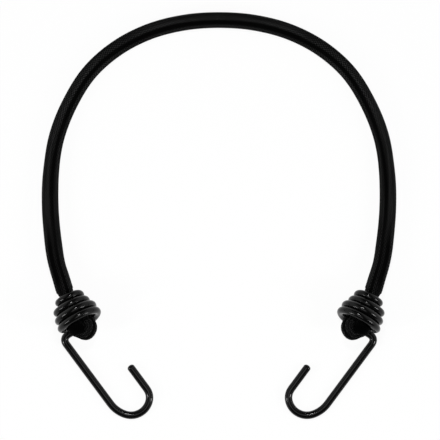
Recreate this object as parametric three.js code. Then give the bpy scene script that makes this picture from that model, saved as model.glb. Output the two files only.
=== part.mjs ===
// Bungee strap: one elastic braided cord laid in an arch, with a coated wire hook wound onto each end.
// Millimetres, +Z up. The strap lies on the plane z = 0 with its two hooks towards -Y,
// and its left half (-X) is the mirror image of its right half.
import * as THREE from "three";

// Driving dimensions of the cord
const cordDiameter = 8;
const braidWall = 0.8;
const strandsRoundMiddle = 6;
const strandGap = 0.2; // between two rubber strands
const coreClearance = 0.2; // between the outer strands and the braid
const stretchGap = 0.3; // between two lengths of the cord, and between the cord and its end knot
const riseLength = 40; // how far before the coil the cord starts to lift off the surface

// Driving dimensions of the wire hook
const wireDiameter = 3.6;
const coilTurns = 4.125;
const narrowTurns = 0.625; // turns of even width at the narrow end
const evenTurns = 0.5; // turns of even width at the wide end
const coilWideDiameter = 24.1; // outside the last turn
const turnGap = 0.5; // along the axis, between one turn and the next
const coilCover = 0.6; // from the end of the full-width cord to the first turn
const gripClearance = 0.3; // between the coil and what it grips
const leadLength = 8.3; // straight run from the last turn to the shank bend
const leadBendRadius = 3;
const shankLength = 37.7;
const entryRadius = 15.4; // the hook opens with a wide bend
const entryAngle = THREE.MathUtils.degToRad(35);
const hookRadius = 9.3; // and closes with a tighter one
const tipLength = 13.2;
const tipChamfer = 0.7;

// Driving dimensions of the end knot
const neckSqueeze = 1; // the cord is this much thinner where the first turn grips it
const knotRingGap = 1.75; // between the round end of the knot and the last turn
const knotStandOut = 1.9; // from the end of the coil to the centre of the knot's round end

// How each hook lies, measured in plan from -Y towards the middle of the strap
const coilAngle = THREE.MathUtils.degToRad(24);
const shankAngle = THREE.MathUtils.degToRad(36.5);
const coilTilt = THREE.MathUtils.degToRad(13); // the coil lies on its flank, wide end up
const turnLean = THREE.MathUtils.degToRad(4); // the turns lean back on the side next to the middle

// Plan of the right half of the cord, from beside the crown to the straight length before the coil
const crownPoint = [0, 100.4];
const halfRoute = [
  [17.8, 99],
  [35.9, 94.5],
  [52.6, 86],
  [66.6, 73.6],
  [76.8, 57.7],
  [83.6, 40.4],
  [86.5, 22.2],
  [86.9, 3.9],
  [85.3, -14.8],
  [83.4, -24.3],
];
const shoulderIndex = 2; // the point of the half route where an arm meets the crown
const mouthPoint = [78.8, -38.4]; // where the cord goes into the coil
const straightIn = 6; // straight length before the coil

// How finely the curved pieces are divided
const cordSides = 12;
const strandSides = 6;
const cordStep = 2 * cordDiameter;
const wireSides = 8;
const loopSteps = 24;
const knotSides = 16;
const knotRings = 18;

// Sizes that follow from the driving dimensions
const cordRadius = cordDiameter / 2;
const wireRadius = wireDiameter / 2;
const cordRest = cordRadius * Math.cos(Math.PI / cordSides); // height of the cord's centre, flat side down
const hookRest = wireRadius * Math.cos(Math.PI / wireSides);
const coreRadius = (cordRadius - braidWall) * Math.cos(Math.PI / cordSides) - coreClearance;
const strandRadius = (coreRadius - strandGap) / 3;
const strandRing = 2 * strandRadius + strandGap;
const neckRadius = cordRadius - neckSqueeze / 2;
const coilPitch = wireDiameter + turnGap;
const coilNarrow = neckRadius + gripClearance + wireRadius; // radius to the middle of the wire
const coilWide = coilWideDiameter / 2 - wireRadius;
const coilStart = coilCover + wireRadius; // along the axis, from the end of the cord
const coilEnd = coilStart + coilPitch * coilTurns;
const knotRadius = coilWide - wireRadius - knotRingGap;

// A piece's finish
const finish = (color, roughness) =>
  new THREE.MeshStandardMaterial({ color, roughness, metalness: 0 });
const braidFinish = () => finish(0x17171a, 0.85);
const rubberFinish = () => finish(0x8a7a5c, 0.7);
const coatedWireFinish = () => finish(0x0c0c0e, 0.3);

function piece(name, geometry, material) {
  const mesh = new THREE.Mesh(geometry, material);
  mesh.name = name;
  return mesh;
}

// A flat-sided round outline, with one flat facing the section's +x
function roundOutline(radius, sides, centreX = 0, centreY = 0) {
  const corners = [];
  for (let i = 0; i < sides; i++) {
    const angle = ((i + 0.5) * 2 * Math.PI) / sides;
    corners.push(
      new THREE.Vector2(centreX + radius * Math.cos(angle), centreY + radius * Math.sin(angle)),
    );
  }
  return corners;
}

// Along and around the axis of a coil: one point of the wire's middle line, `turn` turns from its top end.
// The wire runs over the coil from the outer side to the inner one and leaves it underneath.
function coilPoint(turn) {
  const angle = 2 * Math.PI * (turn - coilTurns) - Math.PI / 2;
  const widening = (turn - narrowTurns) / (coilTurns - narrowTurns - evenTurns);
  const share = Math.sin((Math.PI / 2) * THREE.MathUtils.clamp(widening, 0, 1));
  const radius = coilNarrow + (coilWide - coilNarrow) * share;
  const inward = -radius * Math.cos(angle);
  return {
    along: coilStart + coilPitch * turn - inward * Math.tan(turnLean),
    inward,
    up: radius * Math.sin(angle),
    radius,
  };
}

const coilPoints = [];
for (let i = 0; i <= Math.round(coilTurns * loopSteps); i++) {
  coilPoints.push(coilPoint((i * coilTurns) / Math.round(coilTurns * loopSteps)));
}

// The height of the coil's axis at the end of the cord, with the lowest turn on the surface
const lowestTurn = coilPoints.map((p) => p.along * Math.sin(coilTilt) + p.up * Math.cos(coilTilt));
const mouthHeight = wireRadius - Math.min(...lowestTurn);

// The height of the cord's centre at a distance from the coil: it sinks smoothly onto the surface
function cordHeight(distance) {
  const q = Math.min(distance / riseLength, 1);
  const fromMouth = 2 * q ** 3 - 3 * q ** 2 + 1;
  const slope = -Math.tan(coilTilt) * riseLength * (q ** 3 - 2 * q ** 2 + q);
  return fromMouth * mouthHeight + slope + (1 - fromMouth) * cordRest;
}

// The cord's whole route in plan, from the left coil over the crown to the right coil
const straightPoint = [
  mouthPoint[0] + straightIn * Math.sin(coilAngle),
  mouthPoint[1] + straightIn * Math.cos(coilAngle),
];
const rightPlan = [...halfRoute, straightPoint, mouthPoint];
const leftPlan = rightPlan.map(([x, y]) => [-x, y]).reverse();
const plan = [...leftPlan, crownPoint, ...rightPlan];
const route = new THREE.CatmullRomCurve3(plan.map(([x, y]) => new THREE.Vector3(x, y, 0)));
const divisionsPerPoint = 20;
route.arcLengthDivisions = divisionsPerPoint * (plan.length - 1);
const routeLengths = route.getLengths();
const cordLength = route.getLength();
const shoulderAlong = routeLengths[divisionsPerPoint * (leftPlan.length - 1 - shoulderIndex)];

// One length of the cord's route, whose sections all stand upright with their +x downwards
class CordStretch extends THREE.Curve {
  constructor(from, to) {
    super();
    this.from = from;
    this.to = to;
  }

  getPoint(t, target = new THREE.Vector3()) {
    const along = THREE.MathUtils.lerp(this.from, this.to, t);
    route.getPoint(route.getUtoTmapping(0, along), target);
    target.z = cordHeight(Math.min(along, cordLength - along));
    return target;
  }

  computeFrenetFrames(segments) {
    const frames = { tangents: [], normals: [], binormals: [] };
    for (let i = 0; i <= segments; i++) {
      const tangent = this.getTangentAt(i / segments);
      const normal = new THREE.Vector3(0, 0, -1).addScaledVector(tangent, tangent.z).normalize();
      frames.tangents.push(tangent);
      frames.normals.push(normal);
      frames.binormals.push(tangent.clone().cross(normal));
    }
    return frames;
  }
}

// A length of cord: its braided sheath and the rubber strands inside
function cordLengthGroup(name, from, to) {
  const group = new THREE.Group();
  const extrudePath = new CordStretch(from, to);
  const steps = 2 * Math.ceil((to - from) / (2 * cordStep)); // even, so that one ring is at the crown
  const sheath = new THREE.Shape(roundOutline(cordRadius, cordSides));
  sheath.holes.push(new THREE.Path(roundOutline(cordRadius - braidWall, cordSides)));
  const sheathGeometry = new THREE.ExtrudeGeometry(sheath, { extrudePath, steps });
  group.add(piece(`${name}_sheath`, sheathGeometry, braidFinish()));
  for (let i = 0; i <= strandsRoundMiddle; i++) {
    const ring = i === 0 ? 0 : strandRing;
    const angle = (2 * Math.PI * i) / strandsRoundMiddle;
    const outline = roundOutline(
      strandRadius,
      strandSides,
      ring * Math.cos(angle),
      ring * Math.sin(angle),
    );
    const strand = new THREE.ExtrudeGeometry(new THREE.Shape(outline), { extrudePath, steps });
    group.add(piece(`${name}_core_strand_${i + 1}`, strand, rubberFinish()));
  }
  return group;
}

// A closed flat-sided tube along points, carried without twist, with one flat facing `facing` at one ring
function wireTube(points, radii, facingRing, facing) {
  const last = points.length - 1;
  const runs = points.slice(1).map((p, i) => p.clone().sub(points[i]).normalize());
  const tangents = points.map((p, i) =>
    runs[Math.max(i - 1, 0)].clone().add(runs[Math.min(i, last - 1)]).normalize(),
  );
  const normals = [new THREE.Vector3(0, 0, 1).cross(tangents[0]).normalize()];
  const bend = new THREE.Quaternion();
  for (let i = 1; i <= last; i++) {
    bend.setFromUnitVectors(tangents[i - 1], tangents[i]);
    normals.push(normals[i - 1].clone().applyQuaternion(bend));
  }
  const side = tangents[facingRing].clone().cross(normals[facingRing]);
  const roll = Math.atan2(facing.dot(side), facing.dot(normals[facingRing]));

  const corners = [];
  points.forEach((point, i) => {
    const binormal = tangents[i].clone().cross(normals[i]);
    for (let j = 0; j < wireSides; j++) {
      const angle = roll + ((j + 0.5) * 2 * Math.PI) / wireSides;
      const corner = point.clone().addScaledVector(normals[i], radii[i] * Math.cos(angle));
      corners.push(...corner.addScaledVector(binormal, radii[i] * Math.sin(angle)).toArray());
    }
  });
  corners.push(...points[0].toArray(), ...points[last].toArray());
  const startCentre = points.length * wireSides;
  const endCentre = startCentre + 1;

  const faces = [];
  for (let j = 0; j < wireSides; j++) {
    const next = (j + 1) % wireSides;
    for (let i = 0; i < last; i++) {
      const ring = i * wireSides;
      const above = ring + wireSides;
      faces.push(ring + j, ring + next, above + next);
      faces.push(ring + j, above + next, above + j);
    }
    faces.push(startCentre, next, j);
    faces.push(endCentre, last * wireSides + j, last * wireSides + next);
  }
  const geometry = new THREE.BufferGeometry();
  geometry.setAttribute("position", new THREE.Float32BufferAttribute(corners, 3));
  geometry.setIndex(faces);
  geometry.computeVertexNormals();
  return geometry;
}

// Points of a flat bend to the left or a straight run, from a plan position and heading
class PlanWalk {
  constructor(x, y, heading) {
    this.x = x;
    this.y = y;
    this.heading = heading;
    this.points = [];
  }

  run(length) {
    this.x += length * Math.cos(this.heading);
    this.y += length * Math.sin(this.heading);
    this.points.push(new THREE.Vector3(this.x, this.y, 0));
  }

  turn(radius, angle) {
    const steps = Math.ceil((angle / (2 * Math.PI)) * loopSteps);
    for (let i = 0; i < steps; i++) {
      const from = this.heading;
      this.heading += angle / steps;
      this.x += radius * (Math.sin(this.heading) - Math.sin(from));
      this.y -= radius * (Math.cos(this.heading) - Math.cos(from));
      this.points.push(new THREE.Vector3(this.x, this.y, 0));
    }
  }
}

// The axis of the left coil, and the directions across it towards the middle and upwards
const axis = new THREE.Vector3(
  Math.sin(coilAngle) * Math.cos(coilTilt),
  -Math.cos(coilAngle) * Math.cos(coilTilt),
  Math.sin(coilTilt),
);
const across = new THREE.Vector3(Math.cos(coilAngle), Math.sin(coilAngle), 0);
const upwards = axis.clone().cross(across);
const leftMouth = new THREE.Vector3(-mouthPoint[0], mouthPoint[1], mouthHeight);

// The middle line of the left hook's wire: coil, lead out, shank, hook and tip
function hookMiddleLine() {
  const points = coilPoints.map((p) =>
    leftMouth
      .clone()
      .addScaledVector(axis, p.along)
      .addScaledVector(across, p.inward)
      .addScaledVector(upwards, p.up),
  );
  const leaving = points[points.length - 1];
  const drift = coilPitch / (2 * Math.PI * coilWide) + Math.tan(turnLean);
  const leadHeading = Math.PI + coilAngle + Math.atan(drift * Math.cos(coilTilt));
  const shankHeading = 1.5 * Math.PI + shankAngle;
  const walk = new PlanWalk(leaving.x, leaving.y, leadHeading);
  walk.run(leadLength);
  walk.turn(leadBendRadius, shankHeading - leadHeading);
  const bentAt = walk.points.length;
  walk.run(shankLength);
  walk.turn(entryRadius, entryAngle);
  const seatAt = walk.points.length;
  walk.turn(hookRadius, Math.PI - entryAngle);
  walk.run(tipLength - tipChamfer);
  walk.run(tipChamfer);
  walk.points.forEach((p, i) => {
    p.z = i < bentAt ? leaving.z : hookRest; // the shank slopes down to the surface
  });
  return { points: [...points, ...walk.points], seatRing: points.length + seatAt };
}

// The least clear gap between two turns of a wire, over points at least half a turn apart
function leastGap(points) {
  let least = Infinity;
  for (let i = 0; i < points.length; i++) {
    for (let j = i + loopSteps / 2; j < points.length; j++) {
      least = Math.min(least, points[i].distanceTo(points[j]));
    }
  }
  return least - wireDiameter;
}

// A hook bent from one length of coated wire, with a flat of its section facing into the hook
function hook(name, side) {
  const line = hookMiddleLine();
  const points = line.points.map((p) => new THREE.Vector3(-side * p.x, p.y, p.z));
  const radii = points.map(() => wireRadius);
  radii[points.length - 1] = wireRadius - tipChamfer;
  const along = points[line.seatRing + 1].clone().sub(points[line.seatRing - 1]).normalize();
  const intoHook = new THREE.Vector3(0, 0, 1).cross(along).multiplyScalar(-side);
  console.log(`${name}: least gap between its turns ${leastGap(points).toFixed(2)} mm`);
  return piece(name, wireTube(points, radii, line.seatRing, intoHook), coatedWireFinish());
}

// The radius that is free for the knot at a distance along the axis, however the coil is turned on it
function freeRadius(along) {
  const reach = wireRadius + gripClearance;
  const free = coilPoints
    .filter((p) => Math.abs(p.along - along) < reach)
    .map((p) => p.radius - Math.sqrt(reach ** 2 - (p.along - along) ** 2));
  return Math.min(knotRadius, ...free);
}

// The knotted end of the cord: a neck through the first turn, swelling inside the coil to a round end
function knot(name, side) {
  const roundCentre = coilEnd + knotStandOut;
  const profile = [new THREE.Vector2(0, stretchGap)];
  for (let i = 0; i <= knotRings; i++) {
    const along = THREE.MathUtils.lerp(stretchGap, roundCentre, i / knotRings);
    const neck = along < coilStart ? neckRadius : Infinity;
    profile.push(new THREE.Vector2(Math.min(neck, freeRadius(along)), along));
  }
  const roundSteps = loopSteps / 4;
  for (let i = 1; i <= roundSteps; i++) {
    const angle = (Math.PI / 2) * (i / roundSteps);
    const radius = i === roundSteps ? 0 : knotRadius * Math.cos(angle);
    profile.push(new THREE.Vector2(radius, roundCentre + knotRadius * Math.sin(angle)));
  }
  const mesh = piece(name, new THREE.LatheGeometry(profile, knotSides), braidFinish());
  const direction = new THREE.Vector3(-side * axis.x, axis.y, axis.z);
  mesh.quaternion.setFromUnitVectors(new THREE.Vector3(0, 1, 0), direction);
  mesh.position.set(-side * leftMouth.x, leftMouth.y, leftMouth.z);
  return mesh;
}

const bungeeStrap = new THREE.Group();
const crownEnds = [shoulderAlong + stretchGap / 2, cordLength - shoulderAlong - stretchGap / 2];
bungeeStrap.add(cordLengthGroup("crown", ...crownEnds));
bungeeStrap.add(cordLengthGroup("left_arm", 0, shoulderAlong - stretchGap / 2));
bungeeStrap.add(cordLengthGroup("right_arm", cordLength - shoulderAlong + stretchGap / 2, cordLength));
const handSides = { left: -1, right: 1 };
for (const [hand, side] of Object.entries(handSides)) {
  bungeeStrap.add(knot(`${hand}_end_knot`, side));
  bungeeStrap.add(hook(`${hand}_wire_hook`, side));
}

export default bungeeStrap;
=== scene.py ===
import math

import bpy
import numpy as np
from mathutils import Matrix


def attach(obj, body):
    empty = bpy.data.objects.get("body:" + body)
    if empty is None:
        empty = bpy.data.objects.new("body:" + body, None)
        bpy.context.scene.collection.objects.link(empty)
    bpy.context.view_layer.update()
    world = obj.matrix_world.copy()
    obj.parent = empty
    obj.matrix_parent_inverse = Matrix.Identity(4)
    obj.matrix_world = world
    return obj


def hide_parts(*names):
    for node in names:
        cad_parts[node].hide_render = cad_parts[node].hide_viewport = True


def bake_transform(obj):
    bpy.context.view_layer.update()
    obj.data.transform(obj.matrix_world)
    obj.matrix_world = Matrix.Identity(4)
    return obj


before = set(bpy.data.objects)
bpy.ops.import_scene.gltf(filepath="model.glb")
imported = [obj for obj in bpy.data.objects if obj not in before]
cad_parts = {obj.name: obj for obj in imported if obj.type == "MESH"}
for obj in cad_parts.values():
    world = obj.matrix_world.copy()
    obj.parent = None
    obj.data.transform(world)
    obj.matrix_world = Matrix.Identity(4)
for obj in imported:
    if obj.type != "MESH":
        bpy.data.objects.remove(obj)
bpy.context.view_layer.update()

mm = 0.001  # sizes below are millimetres, the scene is metres
tiny = 1e-6  # keeps a division clear of zero
hands = ("left", "right")  # all is made for the left half, and mirrored for the right one


# Camera, straight above the strap

photoCamera = {
    "pixelSize": 0.513,  # mm on the object
    "imageWidth": 440,  # pixels
    "middle": (0.5, -2.3, 4.0),  # the point in the middle of the picture
    "distance": 1200,
    "sensor": 36,
    "reach": 10000,  # nothing further off is drawn
}


def addCamera(shot):
    data = bpy.data.cameras.new("photoCamera")
    data.sensor_width = shot["sensor"]
    data.lens = shot["sensor"] * shot["distance"] / (shot["pixelSize"] * shot["imageWidth"])
    data.clip_end = shot["reach"] * mm
    camera = bpy.data.objects.new("photoCamera", data)
    camera.location = (np.array(shot["middle"]) + (0, 0, shot["distance"])) * mm
    bpy.context.scene.collection.objects.link(camera)
    bpy.context.scene.camera = camera


addCamera(photoCamera)
print("camera placed")


# Lines in space

def unit(v):
    return v / np.linalg.norm(v, axis=-1, keepdims=True)


def lengthsAlong(points):
    steps = np.linalg.norm(np.diff(points, axis=0), axis=1)
    return np.concatenate([[0], np.cumsum(steps)])


def atLengths(points, lengths, along=None):  # the columns of a line, read off at the given lengths
    along = lengthsAlong(points) if along is None else along
    return np.stack([np.interp(lengths, along, column) for column in points.T], axis=1)


def evenly(points, step):
    total = lengthsAlong(points)[-1]
    return atLengths(points, np.linspace(0, total, round(total / step) + 1))


def withEnds(points):  # one more point at each end, straight on
    return np.concatenate([2 * points[:1] - points[1:2], points, 2 * points[-1:] - points[-2:-1]])


def smoothThrough(points, perSpan=40):  # centripetal spline, from the second point to the last but one
    points = np.array(points, float)
    t = np.linspace(0, 1, perSpan, endpoint=False)[:, None]
    line = []
    for p0, p1, p2, p3 in zip(points, points[1:], points[2:], points[3:]):
        d0, d1, d2 = (np.sqrt(np.linalg.norm(b - a)) for a, b in ((p0, p1), (p1, p2), (p2, p3)))
        m1 = d1 * ((p1 - p0) / d0 - (p2 - p0) / (d0 + d1) + (p2 - p1) / d1)
        m2 = d1 * ((p2 - p1) / d1 - (p3 - p1) / (d1 + d2) + (p3 - p2) / d2)
        c2 = 3 * (p2 - p1) - 2 * m1 - m2
        c3 = 2 * (p1 - p2) + m1 + m2
        line.append(p1 + m1 * t + c2 * t**2 + c3 * t**3)
    return np.concatenate([*line, points[-2:-1]])


def rounded(points, rounds):  # takes off the corners that resampling leaves
    for _ in range(rounds):
        points[1:-1] += 0.5 * ((points[:-2] + points[2:]) / 2 - points[1:-1])
    return points


def carriedFrames(points, firstNormal):  # tangent, normal and side of each ring, carried without twist
    tangents = unit(np.gradient(points, axis=0))
    normals = np.empty_like(points)
    normals[0] = firstNormal
    for i in range(1, len(points)):
        normal = normals[i - 1] - tangents[i] * (normals[i - 1] @ tangents[i])
        normals[i] = normal / np.linalg.norm(normal)
    return tangents, normals, np.cross(tangents, normals)


def smoothStep(x):
    x = np.clip(x, 0, 1)
    return x * x * (3 - 2 * x)


# The wire hook's coil, which the cord's end sits in

hookWire = {
    "diameter": 3.95,
    "turns": 4.125,
    "firstTurn": 0.2,  # where the wire begins
    "narrowTurns": 0.625,
    "evenTurns": 0.5,
    "narrowRadius": 5.6,  # to the middle of the wire
    "wideRadius": 10.25,
    "pitch": 4.1,
    "start": 2.4,  # along the axis, from the coil's mouth
    "angle": 24,  # degrees in plan, from -Y towards the middle of the strap
    "tilt": 13,  # wide end up
    "lean": 9,  # the turns lean back on the inner side
    "sway": [  # turn, and mm inward: no turn lies quite true
        (0.4, 0.3),
        (0.9, 0.3),
        (1.4, -0.7),
        (1.9, -0.4),
        (2.4, 0.3),
        (2.9, 0.2),
        (3.4, 1.0),
        (3.9, 0.7),
        (4.1, 0),
    ],
    "leadTurns": 0.35,  # the wire leaves the coil over this share of a turn
    "leadLean": 4,  # the lean that is left where it leaves
    "leadLift": 0.9,  # it leaves a little before the end of its pitch
    "leadLength": 8.55,
    "leadBend": 3.0,
    "shankAngle": 36.5,
    "shankLength": 38.6,
    "entryRadius": 15.4,
    "entryAngle": 35,
    "bendRadius": 9.6,
    "exitRadius": 7.5,
    "exitAngle": 50,
    "tipLength": 15.0,
    "endDome": 0.75,  # how far the rounded ends stand out, as a share of the wire's radius
    "endRings": 7,
    "endGap": 0.1,  # between the rounded end's last ring and the next one
    "sides": 28,
    "step": 0.45,
}
wireRadius = hookWire["diameter"] / 2
coilAngle = math.radians(hookWire["angle"])
coilTilt = math.radians(hookWire["tilt"])


def coilRadius(turn):
    wire = hookWire
    widening = (turn - wire["narrowTurns"]) / (wire["turns"] - wire["narrowTurns"] - wire["evenTurns"])
    share = np.sin(math.pi / 2 * np.clip(widening, 0, 1))
    return wire["narrowRadius"] + (wire["wideRadius"] - wire["narrowRadius"]) * share


def coilLine(perTurn=72):  # inward, upward and along, from the mouth
    wire = hookWire
    turn = np.linspace(wire["firstTurn"], wire["turns"], round(wire["turns"] * perTurn) + 1)
    angle = 2 * math.pi * (turn - wire["turns"]) - math.pi / 2
    radius = coilRadius(turn)
    inward = np.interp(turn, *zip(*wire["sway"])) - radius * np.cos(angle)
    leaving = smoothStep((turn - wire["turns"] + wire["leadTurns"]) / wire["leadTurns"])
    lean = np.radians(wire["lean"] + (wire["leadLean"] - wire["lean"]) * leaving)
    along = wire["start"] + wire["pitch"] * turn - inward * np.tan(lean) - wire["leadLift"] * leaving
    return np.stack([inward, radius * np.sin(angle), along], axis=1)


coilAxis = np.array(
    [
        math.sin(coilAngle) * math.cos(coilTilt),
        -math.cos(coilAngle) * math.cos(coilTilt),
        math.sin(coilTilt),
    ]
)
coilAcross = np.array([math.cos(coilAngle), math.sin(coilAngle), 0])
coilUp = np.cross(coilAxis, coilAcross)


# The cord's route over the left half, from the crown to the coil

cordRoute = {
    "crown": (0, 100.3),
    "half": [
        (-17.8, 99),
        (-35.85, 94.35),
        (-52.45, 85.8),
        (-66.45, 73.45),
        (-76.5, 57.6),
        (-83.3, 40.35),
        (-86.2, 22.2),
        (-86.6, 3.9),
        (-84.9, -14.8),
        (-83.25, -24.3),
        (-80.68, -32.65),
    ],
    "mouth": (-78.8, -38.4),
    "mouthHeight": 8.21,  # the hook swivels on the line that starts here
    "pastMouth": 6,  # the curve aims at a point this far down the coil
    "riseLength": 40,
    "restHeight": 3.95,
}
mouth = np.array([*cordRoute["mouth"], cordRoute["mouthHeight"]])


def intoCoil(local):  # from inward, upward and along to the strap's own frame
    local = np.asarray(local, float)
    return mouth + local[:, :1] * coilAcross + local[:, 1:2] * coilUp + local[:, 2:3] * coilAxis


def cordLine(route):
    inPlan = np.array([math.sin(coilAngle), -math.cos(coilAngle)])
    beyond = np.array(route["mouth"]) + route["pastMouth"] * inPlan
    x, y = route["half"][0]
    plan = smoothThrough([(-x, y), route["crown"], *route["half"], route["mouth"], beyond])
    along = lengthsAlong(plan)
    q = np.minimum((along[-1] - along) / route["riseLength"], 1)  # 0 at the mouth, 1 where it lies flat
    fromMouth = 2 * q**3 - 3 * q**2 + 1
    slope = math.tan(coilTilt) * route["riseLength"] * (q**3 - 2 * q**2 + q)
    height = fromMouth * mouth[2] - slope + (1 - fromMouth) * route["restHeight"]
    return np.column_stack([plan, height])


# The end knot: a tight overhand knot that fills the coil

endKnot = {
    "line": [  # inward, upward, along the coil's axis, and the radius that the cord is squeezed to
        (0.0, 0.0, 0.0, 4.2),
        (0.0, 0.0, 3.0, 3.7),
        (-0.2, 0.0, 6.5, 3.3),
        (-0.9, -0.4, 10.0, 2.8),
        (0.6, -1.0, 13.2, 2.8),
        (3.6, -0.9, 16.2, 3.1),
        (6.0, -0.4, 19.2, 3.4),
        (5.9, 0.0, 22.0, 3.5),
        (4.4, 0.2, 24.1, 3.5),
        (1.7, 0.0, 25.4, 3.5),
        (-0.3, -0.6, 24.6, 3.3),
        (-1.2, -1.3, 22.0, 3.2),
        (-2.4, -1.6, 18.8, 3.1),
        (-3.5, -0.2, 15.4, 3.0),
        (-2.9, 2.5, 12.9, 2.6),
        (-0.3, 4.0, 11.9, 2.5),
        (2.7, 3.2, 11.9, 2.5),
        (4.2, 0.4, 12.4, 2.5),
        (3.2, -3.0, 13.4, 2.5),
        (0.6, -3.9, 14.8, 2.5),
        (-0.9, -1.8, 16.4, 2.6),
        (-1.0, 1.3, 17.2, 3.0),
        (-1.5, 3.2, 19.0, 3.5),
        (-1.8, 3.9, 22.0, 3.8),
        (-1.9, 3.8, 24.7, 3.8),
    ],
    "neckPoints": 8,  # of the settling line, held straight in the coil's mouth
    "settleStep": 0.9,
    "settleRounds": 260,
    "packing": 0.86,  # how close the soft turns lie, as a share of their radii
    "neighbours": 1.7,  # times their distance: nearer along the cord, points don't push each other
    "push": 0.12,  # shares that a point is moved by in each round
    "tension": 0.25,
    "homing": 0.04,
    "leastRoom": 0.2,  # the middle line may always stray this far from the coil's axis
    "widest": 8.3,  # radius that the knot stays within
    "coilClearance": 0.15,
    "gripBefore": 6,  # the first turn grips the cord from here before the mouth
    "gripInside": 9,  # to here inside it
    "relief": 0.12,  # of the yarns, drawn tighter here than along the cord
    "tailRound": 2.4,  # length of the rounded tail end
    "tailLeast": 0.02,  # square of the share of its radius that the tail ends with
    "tailMelted": 6.5,  # the yarns are melted together and smooth on the tail's last length
    "tailPlain": 0.4,  # share of that length with no yarns at all
    "pressApart": 2.4,  # turns further apart than this many radii along the cord press on each other
    "pressReach": 0.3,  # when they are as near as this
    "pressGap": 0.06,  # left on each side between them
    "pressRounds": 4,
}


def freeRadius(along):  # room inside the coil, however the hook is turned on the knot
    line = coilLine()
    reach = wireRadius + endKnot["coilClearance"]
    off = np.abs(np.asarray(along)[:, None] - line[None, :, 2])
    radius = np.hypot(line[:, 0], line[:, 1])[None, :]
    clear = np.where(off < reach, radius - np.sqrt(np.maximum(reach**2 - off**2, 0)), np.inf)
    return np.minimum(clear.min(axis=1), endKnot["widest"])


def settleKnot(knot):  # the turns push each other apart, and tension draws them in, until they sit tight
    line = smoothThrough(withEnds(np.array(knot["line"])))
    along = lengthsAlong(line[:, :3])
    lengths = np.linspace(0, along[-1], round(along[-1] / knot["settleStep"]) + 1)
    rows = atLengths(line, lengths, along)
    points, radius = rows[:, :3].copy(), rows[:, 3]
    home = points.copy()
    neck = knot["neckPoints"]
    count = np.arange(len(points))
    wanted = (radius[:, None] + radius[None, :]) * knot["packing"]
    strangers = np.abs(count[:, None] - count[None, :]) * knot["settleStep"] > knot["neighbours"] * wanted
    for _ in range(knot["settleRounds"]):
        gap = points[:, None] - points[None, :]
        far = np.maximum(np.linalg.norm(gap, axis=2), tiny)
        push = np.where(strangers & (far < wanted), (wanted - far) / far, 0)
        points[neck:] += knot["push"] * (push[..., None] * gap).sum(axis=1)[neck:]
        out = np.maximum(np.hypot(points[:, 0], points[:, 1]), tiny)
        room = np.maximum(freeRadius(points[:, 2]) - radius, knot["leastRoom"])
        points[:, :2] *= np.minimum(1, room / out)[:, None]
        middle = (points[:-2] + points[2:]) / 2
        points[neck:-1] += knot["tension"] * (middle[neck - 1:] - points[neck:-1])
        points[neck:] += knot["homing"] * (home - points)[neck:]
    return points, radius


print("routes set out")


# The braided cover: yarns of both directions cross over and under, one diamond of faces for each crossing

braid = {
    "carriers": 20,  # yarns in each direction
    "cellFaces": 4,  # faces across a yarn
    "crossing": 1.8,  # mm along the cord from one crossing to the next
    "relief": 0.15,
    "evenHeight": 0.6,  # the yarn height that lies on the cord's own radius
    "yarnRound": (0.6, 0.4),  # how fast a yarn falls away, across and along it
    "ribs": 0.04,  # the strands inside show as faint ribs along the cord
    "ribTurn": 0.6,  # radians
    "ribSway": 0.5,
    "ribWave": 23.0,  # mm along the cord to a radian of sway
    "creases": [  # mm from the crown, angle and half width in radians, share of the depth and of the painted shade
        [  # along the inner side of the bend
            (0, -0.39, 0.35, 1.0),
            (45, -0.43, 0.35, 1.0),
            (65, -0.33, 0.30, 1.0),
            (90, -0.37, 0.32, 1.0),
            (112, -0.39, 0.25, 1.0),
            (140, -0.30, 0.25, 1.0),
            (165, -0.34, 0.21, 0.9),
            (200, -0.34, 0.22, 1.0),
        ],
        [  # on the outer side, where the cord rises to the coil
            (150, 0.40, 0.20, 0.0),
            (168, 0.42, 0.32, 1.0),
            (186, 0.46, 0.40, 1.0),
            (205, 0.46, 0.40, 0.0),
        ],
    ],
    "creaseDepth": 0.2,
    "paintedCreaseShade": 0.92,  # painted shade: how far the yarns' colour is darkened in a crease
    "creaseEdge": 6,  # higher is sharper
    "wall": 0.8,
    "wallStep": 16,  # rings
    "streakRadius": 4,  # of the cord, where its streaks are laid out
    "diameter": [  # from the crown on
        (0, 8.05),
        (60, 8.2),
        (90, 8.1),
        (105, 8.15),
        (123, 8.0),
        (138, 8.5),
        (158, 8.65),
        (169, 8.9),
        (178, 8.65),
        (189, 8.95),
    ],
}
coreStrands = 7  # one in the middle of six
ringStep = braid["crossing"] / (2 * braid["cellFaces"])
around = braid["carriers"] * braid["cellFaces"]


def yarnHeight(ring, place):  # 0 in the grooves, 1 on top of a yarn
    faces = braid["cellFaces"]
    right = (place + ring) // 2  # counted along the two ways that the yarns run
    left = (place - ring) // 2
    rightOver = (right // faces + left // faces) % 2 == 0
    offRight = (right % faces) / faces - 0.5
    offLeft = (left % faces) / faces - 0.5
    across = np.cos(math.pi * np.where(rightOver, offRight, offLeft))
    along = np.cos(math.pi * np.where(rightOver, offLeft, offRight))
    roundAcross, roundAlong = braid["yarnRound"]
    return across**roundAcross * along**roundAlong


def creasesAt(length, angle):  # 1 in the middle of a crease, 0 away from it
    share = np.zeros(angle.shape)
    for rows in braid["creases"]:
        lengths, *columns = zip(*rows)
        at, width, depth = (np.interp(length, lengths, column)[:, None] for column in columns)
        off = (angle - at + math.pi) % (2 * math.pi) - math.pi
        share = np.maximum(share, depth * np.exp(-((off / width) ** braid["creaseEdge"])))
    return share


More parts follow.
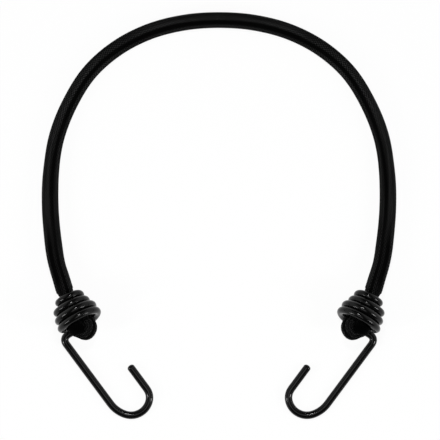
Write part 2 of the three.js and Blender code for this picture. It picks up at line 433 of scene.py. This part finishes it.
def braidRings(firstRing, centres, frames, radii, relief):  # the points of each ring, and their marks
    _, normals, sides = frames
    rings = firstRing + np.arange(len(centres))
    place = 2 * np.arange(around)[None, :] + (rings % 2)[:, None]
    angle = math.pi * place / around
    height = yarnHeight(rings[:, None], place)
    length = rings * ringStep
    sway = braid["ribSway"] * np.sin(length / braid["ribWave"])[:, None]
    rib = braid["ribs"] * np.cos(coreStrands * angle - braid["ribTurn"] + sway)
    crease = creasesAt(length, angle)
    yarns = relief[:, None] * (height - braid["evenHeight"])
    radius = radii[:, None] + yarns + rib - braid["creaseDepth"] * crease
    out = np.cos(angle)[..., None] * normals[:, None] + np.sin(angle)[..., None] * sides[:, None]
    marks = {
        # The yarn height is darkened in the creases: painted shade, which the colour ramp shows.
        "yarnHeight": height * (1 - braid["paintedCreaseShade"] * crease),
        "cordPlace": np.stack(
            [
                braid["streakRadius"] * np.cos(angle),
                braid["streakRadius"] * np.sin(angle),
                np.broadcast_to(length[:, None], angle.shape),
            ],
            axis=2,
        ),
    }
    return centres[:, None] + radius[..., None] * out, marks


def diamondFaces(firstRing, count):  # a diamond on each point of a ring, and triangles along the end rings
    faces = []
    j = np.arange(around)
    for r in range(count - 1):
        odd = (firstRing + r) % 2
        low = r * around + j
        right = (r + 1) * around + (j + odd) % around
        left = (r + 1) * around + (j + odd - 1) % around
        if r == 0:
            faces += np.stack([low, (j + 1) % around, right], axis=1).tolist()
        if r < count - 2:
            faces += np.stack([low, right, low + 2 * around, left], axis=1).tolist()
        else:
            faces += np.stack([low, right, left], axis=1).tolist()
    return faces


def mirrored(points, faces, hand):
    points = np.array(points, float)
    if hand == "left":
        return points, faces
    points[:, 0] *= -1
    return points, [face[::-1] for face in faces]


def meshPiece(name, points, faces, hand, material, marks=None, flatFaces=0):  # the last faces may be flat
    points, faces = mirrored(points, faces, hand)
    mesh = bpy.data.meshes.new(name)
    mesh.from_pydata((points * mm).tolist(), [], faces)
    for key, values in (marks or {}).items():
        kind, field = ("FLOAT", "value") if values.ndim == 1 else ("FLOAT_VECTOR", "vector")
        mesh.attributes.new(key, kind, "POINT").data.foreach_set(field, values.astype(np.float32).ravel())
    mesh.shade_smooth()
    for face in mesh.polygons[len(faces) - flatFaces:]:
        face.use_smooth = False
    mesh.materials.append(material)
    mesh.validate()
    piece = bpy.data.objects.new(name, mesh)
    bpy.context.scene.collection.objects.link(piece)
    return piece


# Materials

def newMaterial(name):
    material = bpy.data.materials.new(name)
    material.use_nodes = True
    nodes = material.node_tree.nodes
    return material, nodes, material.node_tree.links, nodes["Principled BSDF"]


def ramp(nodes, links, value, stops):
    node = nodes.new("ShaderNodeValToRGB")
    elements = node.color_ramp.elements
    while len(elements) < len(stops):
        elements.new(0.5)
    for element, (position, colour) in zip(elements, stops):
        element.position = position
        element.color = (*colour, 1)
    links.new(value, node.inputs["Fac"])
    return node.outputs["Color"]


def noise(nodes, scale, detail=2):
    node = nodes.new("ShaderNodeTexNoise")
    node.inputs["Scale"].default_value = scale
    node.inputs["Detail"].default_value = detail
    return node


def mapRange(nodes, links, value, fromRange=(0, 1), toRange=(0, 1)):
    node = nodes.new("ShaderNodeMapRange")
    node.inputs["From Min"].default_value, node.inputs["From Max"].default_value = fromRange
    node.inputs["To Min"].default_value, node.inputs["To Max"].default_value = toRange
    links.new(value, node.inputs["Value"])
    return node


def bumps(nodes, links, layers):  # height, strength and depth of each layer, the coarsest first
    normal = None
    for height, strength, depth in layers:
        node = nodes.new("ShaderNodeBump")
        node.inputs["Strength"].default_value = strength
        node.inputs["Distance"].default_value = depth
        links.new(height, node.inputs["Height"])
        if normal is not None:
            links.new(normal, node.inputs["Normal"])
        normal = node.outputs["Normal"]
    return normal


braidFinish = {
    # The ramp's colours, from the grooves to the yarn tops: the grooves' dark is painted shade, and the
    # lightest tone is painted light on the yarn tops.
    "paintedGrooveShade": (0.0004, 0.0004, 0.0004),
    "yarn": (0.0135, 0.0135, 0.0135),
    "litYarnTops": (0.0330, 0.0330, 0.0334),
    "roughness": (0.80, 0.45),  # in the grooves, and on top of a yarn
    "specular": 0.012,
    "sheen": 0.012,
    "sheenRoughness": 0.2,
    "streaks": (0.9, 0.9, 0.035),  # waves to a millimetre, across and along the cord
    "worn": (0.22, 0.68),  # the yarns are dark below the first level of a streak, light above the second
    "streakBump": (0.5, 0.0006),  # strength, and depth in metres
    "fibres": 2600,  # waves to a metre
    "fibreBump": (0.2, 0.0001),
}


def braidMaterial(finish):
    material, nodes, links, shader = newMaterial("blackBraid")
    height = nodes.new("ShaderNodeAttribute")
    height.attribute_name = "yarnHeight"
    place = nodes.new("ShaderNodeAttribute")
    place.attribute_name = "cordPlace"
    stretched = nodes.new("ShaderNodeMapping")
    stretched.inputs["Scale"].default_value = finish["streaks"]
    links.new(place.outputs["Vector"], stretched.inputs["Vector"])
    streak = noise(nodes, scale=1, detail=4)  # faint lines along the cord
    links.new(stretched.outputs["Vector"], streak.inputs["Vector"])
    fibre = noise(nodes, finish["fibres"], detail=3)
    worn = mapRange(nodes, links, streak.outputs["Fac"], finish["worn"])
    level = nodes.new("ShaderNodeMath")
    level.operation = "MULTIPLY"
    links.new(height.outputs["Fac"], level.inputs[0])
    links.new(worn.outputs["Result"], level.inputs[1])
    # Painted shade and light: the colour runs from dark in the grooves and creases to light on the yarn
    # tops.
    stops = [(0.0, finish["paintedGrooveShade"]), (0.5, finish["yarn"]), (1.0, finish["litYarnTops"])]
    links.new(ramp(nodes, links, level.outputs[0], stops), shader.inputs["Base Color"])
    rough = mapRange(nodes, links, height.outputs["Fac"], toRange=finish["roughness"])
    links.new(rough.outputs["Result"], shader.inputs["Roughness"])
    layers = [(streak.outputs["Fac"], *finish["streakBump"]), (fibre.outputs["Fac"], *finish["fibreBump"])]
    links.new(bumps(nodes, links, layers), shader.inputs["Normal"])
    shader.inputs["Sheen Weight"].default_value = finish["sheen"]
    shader.inputs["Sheen Roughness"].default_value = finish["sheenRoughness"]
    shader.inputs["Specular IOR Level"].default_value = finish["specular"]
    return material


rubberFinish = {
    "dark": (0.20, 0.145, 0.075),
    "light": (0.30, 0.225, 0.125),
    "clouds": 400,  # waves to a metre
    "levels": (0.3, 0.7),  # of the clouds, where it is dark and light
    "roughness": 0.6,
}


def rubberMaterial(finish):
    material, nodes, links, shader = newMaterial("latexStrands")
    cloud = noise(nodes, finish["clouds"])
    stops = list(zip(finish["levels"], (finish["dark"], finish["light"])))
    links.new(ramp(nodes, links, cloud.outputs["Fac"], stops), shader.inputs["Base Color"])
    shader.inputs["Roughness"].default_value = finish["roughness"]
    return material


wireFinish = {
    "coat": (0.0014, 0.0014, 0.0014),
    "dull": (0.0030, 0.0030, 0.0030),
    "roughness": (0.10, 0.18),
    "specular": 0.19,
    "clouds": 300,  # waves to a metre
    "colourLevels": (0.35, 0.75),  # of the clouds, where the coat is glossy and dull
    "roughLevels": (0.3, 0.75),
    "cloudBump": (0.09, 0.00015),  # strength, and depth in metres
    "skin": 1300,  # finer waves
    "skinBump": (0.05, 0.0001),
}


def wireMaterial(finish):
    material, nodes, links, shader = newMaterial("blackCoatedWire")
    cloud = noise(nodes, finish["clouds"])
    skin = noise(nodes, finish["skin"])
    stops = list(zip(finish["colourLevels"], (finish["coat"], finish["dull"])))
    links.new(ramp(nodes, links, cloud.outputs["Fac"], stops), shader.inputs["Base Color"])
    rough = mapRange(nodes, links, cloud.outputs["Fac"], finish["roughLevels"], finish["roughness"])
    links.new(rough.outputs["Result"], shader.inputs["Roughness"])
    layers = [(cloud.outputs["Fac"], *finish["cloudBump"]), (skin.outputs["Fac"], *finish["skinBump"])]
    links.new(bumps(nodes, links, layers), shader.inputs["Normal"])
    shader.inputs["Specular IOR Level"].default_value = finish["specular"]
    return material


finishes = {
    "braid": braidMaterial(braidFinish),
    "rubber": rubberMaterial(rubberFinish),
    "wire": wireMaterial(wireFinish),
}
print("materials made")


# One centreline from the crown to the tail of the knot

def halfCentreline(knot):
    cord = cordLine(cordRoute)
    knotLocal, knotRadius = settleKnot(knot)
    knotLine = smoothThrough(withEnds(knotLocal), perSpan=8)
    cordLength = lengthsAlong(cord)[-1]
    line = np.concatenate([cord, intoCoil(knotLine)[1:]])
    rings = int(lengthsAlong(line)[-1] / ringStep)
    lengths = np.arange(rings + 1) * ringStep
    centres = rounded(atLengths(line, lengths), rounds=3)
    toCoil = cordLength - lengths
    slack = np.interp(lengths, *zip(*braid["diameter"])) / 2
    inKnot = np.minimum(np.interp(-toCoil, lengthsAlong(knotLocal), knotRadius), slack)
    gripped = (toCoil < knot["gripBefore"]) & (toCoil > -knot["gripInside"])
    grip = np.where(gripped, freeRadius(-toCoil) - braid["relief"] / 2, np.inf)
    radii = np.minimum(np.where(toCoil > 0, slack, inKnot), grip)
    return centres, lengths, radii, cordLength


centres, ringLengths, ringRadii, cordLength = halfCentreline(endKnot)
ringFrames = carriedFrames(centres, np.array([0, 0, 1.0]))
ringFrames[2][0] = (0, 1, 0)  # square to the crown, where both halves meet
knotLength = ringLengths[-1] - cordLength
print(f"half of the cord: {cordLength:.1f} mm to the coil, {knotLength:.1f} mm knotted inside it")


def ringAt(length):
    return 2 * round(length / ringStep / 2)


# Pieces of the cord

cordPieces = {
    "shoulder": (-52.6, 86),  # where the arm swings
    "flexZone": 42,  # mm on each side of the shoulder
    "crownPast": 44,  # the crown piece ends this far past the shoulder
    "coilTuck": 2.0,  # the arm piece ends this far inside the coil
    "stretchEnd": 8,  # mm from the coil
    "boreGap": 0.15,  # between the cover and the strands
    "strandGap": 0.05,  # taken off each strand's radius
    "strandSlack": 0.03,  # between the outer strands and the bore
    "strandSides": 10,
    "strandStep": 12,  # rings
    "pathStep": 8,  # rings
}
pivot = np.array([*cordPieces["shoulder"], cordRoute["restHeight"]])
pivotRing = np.argmin(np.linalg.norm(centres - pivot, axis=1))
crownEnd = ringAt(ringLengths[pivotRing] + cordPieces["crownPast"])
armEnd = ringAt(cordLength + cordPieces["coilTuck"])


def cordBetween(first, last):  # centres, frames and radii of the rings from first to last
    frames = tuple(axis[first:last + 1] for axis in ringFrames)
    return centres[first:last + 1], frames, ringRadii[first:last + 1]


def everyFew(count, step):  # indices a step apart, and the last one
    return np.unique(np.append(np.arange(0, count, step), count - 1))


def fullMarks(marks, count):  # the points that the braid doesn't reach get zeros
    flat = {key: values.reshape(-1, *values.shape[2:]) for key, values in marks.items()}
    return {key: np.pad(v, [(0, count - len(v))] + [(0, 0)] * (v.ndim - 1)) for key, v in flat.items()}


def coverPiece(name, hand, first, last):  # hollow, so that the rubber strands have their room
    middle, frames, radii = cordBetween(first, last)
    outer, marks = braidRings(first, middle, frames, radii, np.full(len(middle), braid["relief"]))
    outer[..., 2] = np.maximum(outer[..., 2], 0.0)  # flat where it lies on the surface
    points = outer.reshape(-1, 3)
    faces = diamondFaces(first, len(middle))
    picks = everyFew(len(middle), braid["wallStep"])
    _, normals, sides = frames
    j = np.arange(around)
    inner = []
    for i in picks:
        angle = math.pi * (2 * j + (first + i) % 2) / around
        out = np.cos(angle)[:, None] * normals[i] + np.sin(angle)[:, None] * sides[i]
        inner.append(middle[i] + (radii[i] - braid["wall"]) * out)
    start = len(points)
    points = np.concatenate([points, *inner])
    nextOne = (j + 1) % around
    for k in range(len(picks) - 1):
        a = start + k * around
        faces += np.stack([a + j, a + around + j, a + around + nextOne, a + nextOne], axis=1).tolist()
    lastOuter = (len(middle) - 1) * around
    lastInner = start + (len(picks) - 1) * around
    firstRim = [j, start + j, start + nextOne, nextOne]
    lastRim = [lastOuter + j, lastOuter + nextOne, lastInner + nextOne, lastInner + j]
    faces += np.stack(firstRim, axis=1).tolist() + np.stack(lastRim, axis=1).tolist()
    marks = fullMarks(marks, len(points))
    return meshPiece(name, points, faces, hand, finishes["braid"], marks, flatFaces=2 * around)


def tubeRings(middle, normals, sides, radii, count):
    angle = 2 * math.pi * np.arange(count) / count
    out = np.cos(angle)[None, :, None] * normals[:, None] + np.sin(angle)[None, :, None] * sides[:, None]
    return middle[:, None] + np.asarray(radii)[:, None, None] * out


def closedTube(rings, offset=0):  # points and faces of a tube of rings, with a fan over each end
    n, count = rings.shape[:2]
    j = np.arange(count)
    nextOne = (j + 1) % count
    faces = []
    for i in range(n - 1):
        a = offset + i * count
        faces += np.stack([a + j, a + nextOne, a + count + nextOne, a + count + j], axis=1).tolist()
    endCentres = rings[[0, -1]].mean(axis=1)
    points = np.concatenate([rings.reshape(-1, 3), endCentres])
    firstCentre = offset + n * count
    endRing = offset + (n - 1) * count
    faces += np.stack([offset + nextOne, offset + j, np.full(count, firstCentre)], axis=1).tolist()
    faces += np.stack([endRing + j, endRing + nextOne, np.full(count, firstCentre + 1)], axis=1).tolist()
    return points, faces


def corePiece(name, hand, first, last):  # the latex strands in the cover
    middle, frames, radii = cordBetween(first, last)
    picks = everyFew(len(middle), cordPieces["strandStep"])
    normals, sides = frames[1][picks], frames[2][picks]
    bore = radii[picks] - braid["wall"] - cordPieces["boreGap"]
    strand = bore / 3 - cordPieces["strandGap"]
    points, faces = [], []
    count = 0
    for i in range(coreStrands):
        ring = np.zeros_like(strand) if i == 0 else bore - strand - cordPieces["strandSlack"]
        angle = 2 * math.pi * i / (coreStrands - 1)
        line = middle[picks] + ring[:, None] * (math.cos(angle) * normals + math.sin(angle) * sides)
        p, f = closedTube(tubeRings(line, normals, sides, strand, cordPieces["strandSides"]), count)
        points.append(p)
        faces += f
        count += len(p)
    return meshPiece(name, np.concatenate(points), faces, hand, finishes["rubber"])


def squeezed(outer, middle, radii, knot):  # soft turns flatten where they press on each other
    apart = knot["pressApart"] * radii.mean() / ringStep
    index = np.arange(len(middle))
    for i in range(len(middle)):
        to = middle - middle[i]
        far = np.linalg.norm(to, axis=1)
        near = np.flatnonzero((np.abs(index - i) > apart) & (far < radii + radii[i] + knot["pressReach"]))
        if not len(near):
            continue
        towards = to[near] / far[near, None]
        face = (far[near] ** 2 + radii[i] ** 2 - radii[near] ** 2) / (2 * far[near]) - knot["pressGap"]
        for _ in range(knot["pressRounds"]):
            over = (outer[i] - middle[i]) @ towards.T - face[None, :]
            worst = over.argmax(axis=1)
            amount = np.maximum(over[np.arange(around), worst], 0)
            outer[i] -= amount[:, None] * towards[worst]
    return outer


def insideCoil(points):  # nothing of the knot reaches the wire
    local = points - mouth
    inward, upward, along = local @ coilAcross, local @ coilUp, local @ coilAxis
    shrink = np.minimum(1, freeRadius(along) / np.maximum(np.hypot(inward, upward), tiny))
    return intoCoil(np.column_stack([inward * shrink, upward * shrink, along]))


def knotPiece(name, hand, knot):
    last = len(centres) - 1
    middle, frames, radii = cordBetween(armEnd, last)
    toTail = ringLengths[last] - ringLengths[armEnd:last + 1]
    off = 1 - np.clip(toTail / knot["tailRound"], 0, 1)
    rounding = np.sqrt(np.clip(1 - off**2, knot["tailLeast"], 1))
    woven = smoothStep(toTail / knot["tailMelted"] - knot["tailPlain"])
    outer, marks = braidRings(armEnd, middle, frames, radii * rounding, knot["relief"] * woven)
    # The melted length has no yarn tops, so it takes the grooves' colour, which is painted shade.
    marks["yarnHeight"] *= woven[:, None]
    points = insideCoil(squeezed(outer, middle, radii, knot).reshape(-1, 3))
    faces = diamondFaces(armEnd, len(middle))
    j = np.arange(around)
    nextOne = (j + 1) % around
    end = (len(middle) - 1) * around
    points = np.concatenate([points, middle[:1], points[end:end + around].mean(axis=0)[None]])
    faces += np.stack([nextOne, j, np.full(around, len(points) - 2)], axis=1).tolist()
    faces += np.stack([end + j, end + nextOne, np.full(around, len(points) - 1)], axis=1).tolist()
    return meshPiece(name, points, faces, hand, finishes["braid"], fullMarks(marks, len(points)))


# The hook, bent from one wire

def planWalk(start, heading, moves, step):  # moves: radius and angle of a left turn, or 0 and a length
    x, y = start
    points = []
    for radius, amount in moves:
        count = max(2, math.ceil((amount * radius if radius else amount) / step))
        for _ in range(count):
            before = heading
            if radius:
                heading += amount / count
                x += radius * (math.sin(heading) - math.sin(before))
                y -= radius * (math.cos(heading) - math.cos(before))
            else:
                x += amount / count * math.cos(heading)
                y += amount / count * math.sin(heading)
            points.append((x, y))
    return np.array(points)


def hookLine(wire):
    coil = intoCoil(coilLine(perTurn=96))
    leaving = coil[-1]
    drift = wire["pitch"] / (2 * math.pi * wire["wideRadius"]) + math.tan(math.radians(wire["leadLean"]))
    leadHeading = math.pi + coilAngle + math.atan(drift * math.cos(coilTilt))
    shankHeading = 1.5 * math.pi + math.radians(wire["shankAngle"])
    entry, leave = math.radians(wire["entryAngle"]), math.radians(wire["exitAngle"])
    leadMoves = [(0, wire["leadLength"]), (wire["leadBend"], shankHeading - leadHeading)]
    bendMoves = [
        (wire["entryRadius"], entry),
        (wire["bendRadius"], math.pi - entry - leave),
        (wire["exitRadius"], leave),
        (0, wire["tipLength"]),
    ]
    lead = planWalk(leaving[:2], leadHeading, leadMoves, wire["step"])
    shank = planWalk(lead[-1], shankHeading, [(0, wire["shankLength"])], wire["step"])
    bend = planWalk(shank[-1], shankHeading, bendMoves, wire["step"])
    fall = smoothStep(np.linspace(0, 1, len(shank)))  # from the coil's height to the surface
    heights = np.concatenate(
        [
            np.full(len(lead), leaving[2]),
            leaving[2] + (wireRadius - leaving[2]) * fall,
            np.full(len(bend), wireRadius),
        ]
    )
    walk = np.column_stack([np.concatenate([lead, shank, bend]), heights])
    return rounded(evenly(np.concatenate([coil, walk]), wire["step"]), rounds=6)


def hookPiece(name, hand, wire):
    line = hookLine(wire)
    along = lengthsAlong(line)
    total = along[-1]
    ease = np.linspace(0, math.pi / 2, wire["endRings"] + 1)[1:]
    ends = wireRadius * np.sin(ease)
    dome = wireRadius * wire["endDome"] * (1 - np.cos(ease))
    clear = dome[-1] + wire["endGap"]
    body = along[(along > clear) & (along < total - clear)]
    middle = atLengths(line, np.concatenate([dome, body, total - dome[::-1]]))
    radii = np.concatenate([ends, np.full(len(body), wireRadius), ends[::-1]])
    _, normals, sides = carriedFrames(middle, np.cross(np.array([0, 0, 1.0]), unit(middle[1] - middle[0])))
    points, faces = closedTube(tubeRings(middle, normals, sides, radii, wire["sides"]))
    points[:, 2] = np.maximum(points[:, 2], 0.0)  # stays on the surface
    return meshPiece(name, points, faces, hand, finishes["wire"])


# Put the strap together


def strands(length):
    return [f"{length}_core_strand_{i + 1}" for i in range(coreStrands)]


for hand in hands:
    arm, end = f"{hand}_arm", f"{hand}_end"
    crownCover = coverPiece(f"{hand}_crown_cover", hand, 0, crownEnd)
    crownCore = corePiece(f"{hand}_crown_core", hand, 0, crownEnd)
    armCover = coverPiece(f"{hand}_arm_cover", hand, crownEnd, armEnd)
    armCore = corePiece(f"{hand}_arm_core", hand, crownEnd, armEnd)
    knot = knotPiece(f"{hand}_knot", hand, endKnot)
    hook = hookPiece(f"{hand}_hook", hand, hookWire)

    for piece in (crownCover, crownCore):
        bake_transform(piece)
    for piece in (armCover, armCore):
        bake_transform(piece)
    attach(knot, end)
    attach(hook, f"{hand}_hook")

    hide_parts("crown_sheath")
    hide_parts(*strands("crown"))
    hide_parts(f"{arm}_sheath")
    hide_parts(*strands(arm))
    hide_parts(f"{hand}_end_knot")
    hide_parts(f"{hand}_wire_hook")

    coverFaces = len(crownCover.data.polygons) + len(armCover.data.polygons)
    print(hand, "half:", coverFaces, "cover faces,", len(knot.data.polygons), "knot faces,",
          len(hook.data.polygons), "hook faces")


# Floor, light and background

studio = {
    "floorSize": 60.0,  # metres
    "floorColour": (0.90, 0.90, 0.90, 1),
    "floorRoughness": 0.9,
    "floorGlow": 0.93,  # share of plain white that the camera sees, the rest is lit and shows the shadow
    "sky": (0.04, 0.90),  # dim overhead, light at the sides
    "skyTurn": (0.42, 0.82),  # how far to the side it begins to lighten, and is light
    "skyBack": 0.2,  # the light sides reach further back than forward
    "horizon": (0.04, 0.16),  # sine of the height up to which it is white, and where that has faded
    "lamps": {  # place in metres, width and height, watts
        "leftLamp": ((-0.42, -0.19, 0.29), (0.05, 0.20), 0.9),
        "rightLamp": ((0.42, -0.19, 0.29), (0.05, 0.20), 0.9),
        "topLamp": ((0.0, 0.20, 0.60), (0.07, 0.07), 1.6),
        "middleLamp": ((0.0, -0.09, 0.25), (0.13, 0.13), 0.10),
    },
}


def seenDirectly(nodes, links):  # 1 for camera, glossy and transmission rays
    path = nodes.new("ShaderNodeLightPath")
    seen = path.outputs["Is Camera Ray"]
    for kind in ("Is Glossy Ray", "Is Transmission Ray"):
        either = nodes.new("ShaderNodeMath")
        either.operation = "MAXIMUM"
        links.new(seen, either.inputs[0])
        links.new(path.outputs[kind], either.inputs[1])
        seen = either.outputs[0]
    return seen


def addFloor(studio):
    half = studio["floorSize"] / 2
    corners = [(-half, -half, 0), (half, -half, 0), (half, half, 0), (-half, half, 0)]
    mesh = bpy.data.meshes.new("floor")
    mesh.from_pydata(corners, [], [(0, 1, 2, 3)])
    floor = bpy.data.objects.new("floor", mesh)
    bpy.context.scene.collection.objects.link(floor)
    material, nodes, links, shader = newMaterial("paleFloor")
    shader.inputs["Base Color"].default_value = studio["floorColour"]
    shader.inputs["Roughness"].default_value = studio["floorRoughness"]
    shader.inputs["Specular IOR Level"].default_value = 0.0
    glow = nodes.new("ShaderNodeEmission")
    glow.inputs["Color"].default_value = (1, 1, 1, 1)
    share = nodes.new("ShaderNodeMath")
    share.operation = "MULTIPLY"
    share.inputs[1].default_value = studio["floorGlow"]
    links.new(seenDirectly(nodes, links), share.inputs[0])
    mix = nodes.new("ShaderNodeMixShader")
    links.new(share.outputs[0], mix.inputs["Fac"])
    links.new(shader.outputs["BSDF"], mix.inputs[1])
    links.new(glow.outputs["Emission"], mix.inputs[2])
    links.new(mix.outputs["Shader"], nodes["Material Output"].inputs["Surface"])
    mesh.materials.append(material)


def addWorld(studio):
    world = bpy.data.worlds.new("whiteRoom")
    world.use_nodes = True
    nodes, links = world.node_tree.nodes, world.node_tree.links
    background = nodes["Background"]
    background.inputs["Color"].default_value = (1, 1, 1, 1)
    direction = nodes.new("ShaderNodeTexCoord")
    parts = nodes.new("ShaderNodeSeparateXYZ")
    links.new(direction.outputs["Generated"], parts.inputs["Vector"])
    aside = nodes.new("ShaderNodeMath")
    aside.operation = "ABSOLUTE"
    links.new(parts.outputs["X"], aside.inputs[0])
    turned = nodes.new("ShaderNodeMath")
    turned.operation = "MULTIPLY_ADD"
    turned.inputs[1].default_value = studio["skyBack"]
    links.new(parts.outputs["Y"], turned.inputs[0])
    links.new(aside.outputs[0], turned.inputs[2])
    sky = mapRange(nodes, links, turned.outputs[0], studio["skyTurn"], studio["sky"])
    sky.interpolation_type = "SMOOTHSTEP"
    fade = mapRange(nodes, links, parts.outputs["Z"], studio["horizon"], (1, 0))
    fade.interpolation_type = "SMOOTHSTEP"
    links.new(sky.outputs["Result"], fade.inputs["To Max"])
    links.new(fade.outputs["Result"], background.inputs["Strength"])
    bpy.context.scene.world = world


def addLamps(lamps):
    for name, (place, size, power) in lamps.items():
        data = bpy.data.lights.new(name, "AREA")
        data.shape = "RECTANGLE"
        data.size, data.size_y = size
        data.energy = power
        lamp = bpy.data.objects.new(name, data)
        lamp.location = place
        lamp.visible_camera = False
        lamp.rotation_mode = "QUATERNION"
        lamp.rotation_quaternion = (-lamp.location).to_track_quat("-Z", "Y")  # aimed at the strap's middle
        bpy.context.scene.collection.objects.link(lamp)


addFloor(studio)
addWorld(studio)
addLamps(studio["lamps"])
bpy.context.scene.view_settings.view_transform = "Standard"
print("studio set")

bpy.context.view_layer.update()
